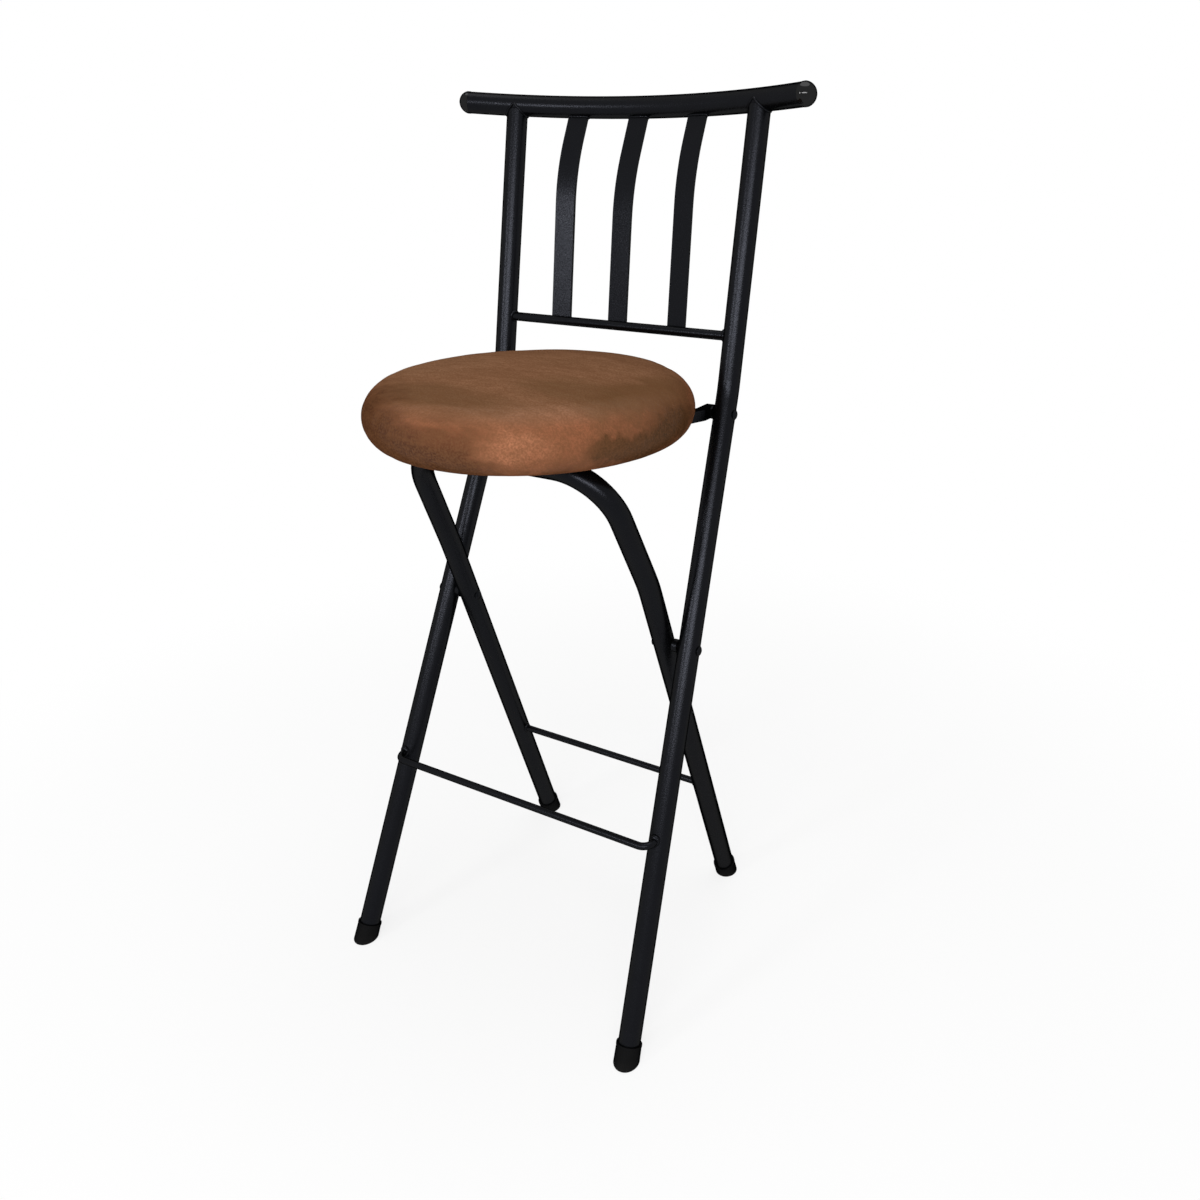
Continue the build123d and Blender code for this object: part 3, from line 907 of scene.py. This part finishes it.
    def shape(self, piece: bpy.types.Object) -> None:
        """Adds the tucks of the drawn-in side, the slow unevenness of hand-laid foam and the arms' grooves.

        Args:
            piece: The swollen mesh, which is changed.
        """
        bottom = self.widest_z - self.lower
        for vertex in piece.data.vertices:
            out = Vector((vertex.co.x, vertex.co.y - self.centre.y, 0.0))
            if out.length < MERGE:
                continue
            angle = math.atan2(out.y, out.x)
            uneven = noise.noise(vertex.co * self.uneven_scale) * self.uneven
            rise = (vertex.co.z - bottom) / self.lower
            if not self.under(vertex.co, self.recess + self.swell):
                vertex.co.z += uneven * min(1.0, max(0.0, rise))
            window = max(0.0, 1.0 - abs(rise - self.tuck_rise) / self.tuck_reach)
            around = Vector((math.cos(angle), math.sin(angle), self.sway_layer))
            twist = noise.noise(around * self.sway_scale)
            wave = math.cos(angle * self.tucks + self.tuck_sway * twist)
            along = Vector((angle * self.spread_scale, *self.spread_layer))
            share = self.tuck_mean + self.tuck_spread * noise.noise(along)
            pull = max(0.0, self.tuck_depth * share) * window * window * max(0.0, wave) ** 2
            vertex.co = self.press(vertex.co - out.normalized() * pull)

    def open_hem(self, piece: bpy.types.Object) -> None:
        """Cuts the round opening under the board and draws its edge to an even hem.

        Args:
            piece: The shaped mesh, which is changed.
        """
        mesh = bmesh.new()
        mesh.from_mesh(piece.data)
        hem = self.recess - self.hem_width
        inner = [face for face in mesh.faces if self.under(face.calc_center_median(), hem)]
        bmesh.ops.delete(mesh, geom=inner, context="FACES")
        for vertex in mesh.verts:
            if vertex.is_boundary:
                out = Vector((vertex.co.x, vertex.co.y - self.centre.y, 0.0))
                vertex.co = self.centre + out.normalized() * hem + Vector((0.0, 0.0, self.floor_z))
        bmesh.ops.recalc_face_normals(mesh, faces=mesh.faces)
        mesh.to_mesh(piece.data)
        mesh.free()

    def build(self, finish: bpy.types.Material) -> bpy.types.Object:
        """Makes the cushion, which stands for the cover and the foam.

        Args:
            finish: The cover's material.

        Returns:
            The finished piece.
        """
        piece = self.form()
        self.inflate(piece)
        self.shape(piece)
        self.open_hem(piece)
        piece.name = "seat_cushion"
        piece.data.name = "seat_cushion"
        for polygon in piece.data.polygons:
            polygon.use_smooth = True
        smooth = piece.modifiers.new("smooth", "SUBSURF")
        smooth.levels = 1
        smooth.render_levels = 1
        wall = piece.modifiers.new("cloth_wall", "SOLIDIFY")
        wall.thickness = self.cloth
        wall.offset = -1.0
        piece.data.materials.clear()
        piece.data.materials.append(finish)
        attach(piece, Body.SEAT.value)
        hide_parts("seat_cover", "seat_foam")
        return piece


@dataclass(frozen=True)
class Joint:
    """A bar that is welded onto a round tube."""

    place: Vector
    along: Vector
    branch: Vector
    half: tuple[float, float]
    wide: Vector
    body: Body
    swollen: float = 0.0


@dataclass
class WeldBeads:
    """Uneven beads of weld where bars and slats meet their tubes, coated with the frame."""

    tube: float = 0.0127
    rod: float = 0.00425
    bar: float = 0.0055
    slat: tuple[float, float] = (0.0125, 0.002)
    bow: float = 0.65
    rail_end: Vector = field(default_factory=lambda: Vector((0.165, 0.181, 1.0035)))
    bend: Vector = field(default_factory=lambda: Vector((0.161, 0.118, 0.695)))
    foot: Vector = field(default_factory=lambda: Vector((0.198, -0.191, 0.0)))
    bar_end: Vector = field(default_factory=lambda: Vector((0.16176, 0.13005, 0.754)))
    footrest_end: Vector = field(default_factory=lambda: Vector((0.1857, -0.0883, 0.231)))
    stretcher_end: Vector = field(default_factory=lambda: Vector((0.14806, 0.08172, 0.181)))
    rear_along: Vector = field(default_factory=lambda: Vector((-0.02182, -0.3496, 1.0)))
    slat_places: tuple[float, ...] = (-0.082, 0.0, 0.082)
    slat_lean: float = math.radians(26.04)
    bar_swell: float = 0.5
    footrest_swell: float = 1.3
    stretcher_swell: float = 0.4
    bead: float = 0.0016
    ripple: float = 0.35
    ripple_scale: float = 420.0
    slat_corner: float = 0.35
    sides: int = 8
    steps: int = 44

    @property
    def lean(self) -> float:
        """How far the back leans."""
        run = self.rail_end - self.bend
        return math.atan2(run.y, run.z)

    def rail(self, x: float) -> tuple[Vector, Vector]:
        """A point of the bowed rail and its direction.

        Args:
            x: The place across the stool.

        Returns:
            The point and the direction.
        """
        turn = math.asin(x / self.bow)
        back = self.bow * (math.cos(turn) - math.cos(math.asin(self.rail_end.x / self.bow)))
        tilt = Vector((0.0, math.cos(self.lean), -math.sin(self.lean)))
        place = Vector((x, self.rail_end.y, self.rail_end.z)) + tilt * back
        return place, Vector((math.cos(turn), 0.0, 0.0)) - tilt * math.sin(turn)

    def joints(self) -> list[Joint]:
        """All welded joints that can be seen.

        Returns:
            The joints, those of each side first and then the slats' along the rail.
        """
        made = []
        across = Vector((1.0, 0.0, 0.0))
        ahead = Vector((0.0, -1.0, 0.0))
        tube = (self.tube, self.tube)
        bar = (self.bar, self.bar)
        rod = (self.rod, self.rod)
        for side in (-1.0, 1.0):
            flip = Vector((side, 1.0, 1.0))
            upright = (self.rail_end - self.bend) * flip
            leg = (self.bend - self.foot) * flip
            rear = self.rear_along * flip
            inward = across * -side
            place, along = self.rail(side * self.rail_end.x)
            made.append(Joint(place, along, -upright, tube, across, Body.BACK))
            made.append(
                Joint(self.bar_end * flip, upright, inward, bar, upright, Body.BACK, self.bar_swell)
            )
            made.append(
                Joint(self.footrest_end * flip, leg, ahead, rod, across, Body.BACK, self.footrest_swell)
            )
            made.append(
                Joint(self.stretcher_end * flip, rear, inward, rod, leg, Body.REAR, self.stretcher_swell)
            )
        for x in self.slat_places:
            place, along = self.rail(x)
            down = Vector((0.0, -math.sin(self.slat_lean), -math.cos(self.slat_lean)))
            made.append(Joint(place, along, down, self.slat, along, Body.BACK))
        return made

    def seam(self, joint: Joint) -> list[Vector]:
        """The closed line on which a bar's outside meets its tube.

        Args:
            joint: The bar and the tube.

        Returns:
            Points of the line.
        """
        main = joint.along.normalized()
        branch = joint.branch.normalized()
        wide = (joint.wide - branch * joint.wide.dot(branch)).normalized()
        deep = branch.cross(wide)
        slope = branch - main * branch.dot(main)
        power = 1.0 if joint.half[0] == joint.half[1] else self.slat_corner
        line = []
        for step in range(self.steps):
            angle = math.tau * step / self.steps
            over = math.copysign(abs(math.cos(angle)) ** power, math.cos(angle)) * joint.half[0]
            up = math.copysign(abs(math.sin(angle)) ** power, math.sin(angle)) * joint.half[1]
            edge = wide * over + deep * up
            flat = edge - main * edge.dot(main)
            half = slope.dot(flat)
            root = max(0.0, half * half - slope.length_squared * (flat.length_squared - self.tube**2))
            line.append(joint.place + edge + branch * ((math.sqrt(root) - half) / slope.length_squared))
        return line

    def build(self, finish: bpy.types.Material) -> list[bpy.types.Object]:
        """Lays the beads, one piece for each body.

        Args:
            finish: The frame's coat.

        Returns:
            The finished pieces.
        """
        meshes = {Body.BACK: bmesh.new(), Body.REAR: bmesh.new()}
        for joint in self.joints():
            line = self.seam(joint)
            top = max(point.z for point in line)
            low = min(point.z for point in line)
            scales = []
            for point in line:
                ripple = 1.0 + self.ripple * noise.noise(point * self.ripple_scale)
                lifted = (point.z - low) / max(MERGE, top - low)
                scales.append(ripple + joint.swollen * lifted * lifted)
            sweep_ring(meshes[joint.body], path_frames(line, scales), self.bead, self.sides)
        pieces = []
        for body, mesh in meshes.items():
            piece = new_piece(f"weld_beads_{body.name.lower()}", mesh, body)
            piece.data.materials.append(finish)
            pieces.append(piece)
        return pieces


@dataclass(frozen=True)
class Lamp:
    """A soft round lamp: its place, its width and height, and its power in watts."""

    name: str
    place: Place
    size: tuple[float, float]
    power: float


@dataclass
class Studio:
    """Pale floor, soft light and the camera at the photograph's place."""

    eye: Vector = field(default_factory=lambda: Vector((0.6691, -0.8898, 0.9554)))
    azimuth: float = math.radians(28.39)
    elevation: float = math.radians(20.36)
    focal: float = 1004.5
    principal: tuple[float, float] = (700.1, 519.8)
    picture: float = 1200.0
    sensor: float = 36.0
    sight: tuple[float, float] = (0.05, 60.0)
    floor_radius: float = 6.0
    floor_sides: int = 96
    floor_paint: Colour = (0.93, 0.93, 0.93)
    fade: tuple[float, float] = (0.35, 1.3)
    floor_white: float = 0.82
    white: Colour = (1.0, 1.0, 1.0)
    ambient: float = 0.15
    target: Vector = field(default_factory=lambda: Vector((0.0, 0.0, 0.6)))
    lamps: tuple[Lamp, ...] = (
        Lamp("front", (1.15, -2.52, 1.5), (2.8, 0.45), 65.0),
        Lamp("window", (-0.9, -2.6, 1.42), (0.5, 0.5), 19.0),
        Lamp("top", (0.1, 0.3, 3.2), (2.4, 2.4), 48.0),
    )

    def camera(self) -> bpy.types.Object:
        """Places the camera with the photograph's lens and framing.

        Returns:
            The camera object.
        """
        data = bpy.data.cameras.new("camera")
        data.sensor_width = self.sensor
        data.lens = self.focal / self.picture * self.sensor
        data.shift_x = (self.picture / 2 - self.principal[0]) / self.picture
        data.shift_y = (self.principal[1] - self.picture / 2) / self.picture
        data.clip_start, data.clip_end = self.sight
        made = bpy.data.objects.new("camera", data)
        level = math.cos(self.elevation)
        look = Vector(
            (-math.sin(self.azimuth) * level, math.cos(self.azimuth) * level, -math.sin(self.elevation))
        )
        made.location = self.eye
        made.rotation_euler = look.to_track_quat("-Z", "Y").to_euler()
        bpy.context.scene.collection.objects.link(made)
        bpy.context.scene.camera = made
        return made

    def floor(self) -> bpy.types.Object:
        """Lays a round pale floor that fades to white away from the stool.

        Returns:
            The floor object.
        """
        mesh = bmesh.new()
        bmesh.ops.create_circle(
            mesh, cap_ends=True, radius=self.floor_radius, segments=self.floor_sides
        )
        data = bpy.data.meshes.new("floor")
        mesh.to_mesh(data)
        mesh.free()
        made = bpy.data.objects.new("floor", data)
        bpy.context.scene.collection.objects.link(made)
        material = bpy.data.materials.new("pale_floor")
        material.use_nodes = True
        material.node_tree.nodes.clear()
        graph = Graph(material.node_tree)
        place = graph.node("ShaderNodeTexCoord").outputs["Object"]
        distance = graph.vector("LENGTH", place)["Value"]
        far = graph.ramp(distance, *self.fade, self.floor_white, 1.0)
        paint = graph.node("ShaderNodeBsdfDiffuse", {"Color": rgba(self.floor_paint)})
        white = graph.node("ShaderNodeEmission", {"Color": rgba(self.white), "Strength": 1.0})
        share = graph.math("MULTIPLY", far, self.seen(graph))
        both = graph.node("ShaderNodeMixShader", {0: share, 1: paint.outputs[0], 2: white.outputs[0]})
        graph.node("ShaderNodeOutputMaterial", {"Surface": both.outputs[0]})
        data.materials.append(material)
        return made

    @staticmethod
    def seen(graph: Graph) -> bpy.types.NodeSocket:
        """Picks the rays that show the background: from the camera, in a gloss or through glass.

        Args:
            graph: The tree that the nodes go into.

        Returns:
            One for such a ray, otherwise zero.
        """
        path = graph.node("ShaderNodeLightPath").outputs
        shown = graph.math("MAXIMUM", path["Is Camera Ray"], path["Is Glossy Ray"])
        return graph.math("MAXIMUM", shown, path["Is Transmission Ray"])

    def world(self) -> None:
        """Sets a white background and a plain soft ambient light."""
        world = bpy.data.worlds.new("studio")
        world.use_nodes = True
        world.node_tree.nodes.clear()
        graph = Graph(world.node_tree)
        strength = graph.math("MULTIPLY_ADD", self.seen(graph), 1.0 - self.ambient, self.ambient)
        sky = graph.node("ShaderNodeBackground", {"Color": rgba(self.white), "Strength": strength})
        graph.node("ShaderNodeOutputWorld", {"Surface": sky.outputs[0]})
        bpy.context.scene.world = world

    def hang(self, lamp: Lamp) -> None:
        """Hangs one lamp and points it at the stool.

        Args:
            lamp: Its place, size and power.
        """
        data = bpy.data.lights.new(lamp.name, "AREA")
        data.shape = "ELLIPSE"
        data.size, data.size_y = lamp.size
        data.energy = lamp.power
        made = bpy.data.objects.new(lamp.name, data)
        made.location = lamp.place
        made.rotation_euler = (self.target - Vector(lamp.place)).to_track_quat("-Z", "Y").to_euler()
        bpy.context.scene.collection.objects.link(made)

    def build(self) -> None:
        """Sets up the whole studio."""
        self.camera()
        self.floor()
        self.world()
        for lamp in self.lamps:
            self.hang(lamp)
        bpy.context.scene.view_settings.view_transform = "Standard"


CAP_NODES = ("rail_cap_left", "rail_cap_right")
FOOT_NODES = ("front_foot_left", "front_foot_right", "rear_foot_left", "rear_foot_right")


def dress_frame(finishes: dict[Slot, bpy.types.Material]) -> None:
    """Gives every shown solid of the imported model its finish.

    Args:
        finishes: The materials by slot.
    """
    special = {name: Slot.CAP for name in CAP_NODES}
    special.update({name: Slot.RUBBER for name in FOOT_NODES})
    special["seat_board"] = Slot.PLYWOOD
    for name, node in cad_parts.items():
        slot = special.get(name, Slot.STEEL)
        node.data.materials.clear()
        node.data.materials.append(finishes[slot])
        log.info("%s wears %s", name, finishes[slot].name)


def write_sizes() -> None:
    """Updates the view layer."""
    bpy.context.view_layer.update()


def main() -> None:
    """Builds the finishes, the weld beads, the cushion and the studio in order."""
    logging.basicConfig(level=logging.INFO, format="%(name)s: %(message)s")
    finishes = {
        Slot.STEEL: PowderCoat().build(),
        Slot.CAP: GlossPlastic().build(),
        Slot.RUBBER: Rubber().build(),
        Slot.PLYWOOD: Plywood().build(),
        Slot.SUEDE: Microsuede().build(),
    }
    dress_frame(finishes)
    pieces = WeldBeads().build(finishes[Slot.STEEL])
    pieces.append(SeatCushion().build(finishes[Slot.SUEDE]))
    for piece in pieces:
        log.info("%s has %d faces", piece.name, len(piece.data.polygons))
    Studio().build()
    write_sizes()


if __name__ == "__main__":
    main()
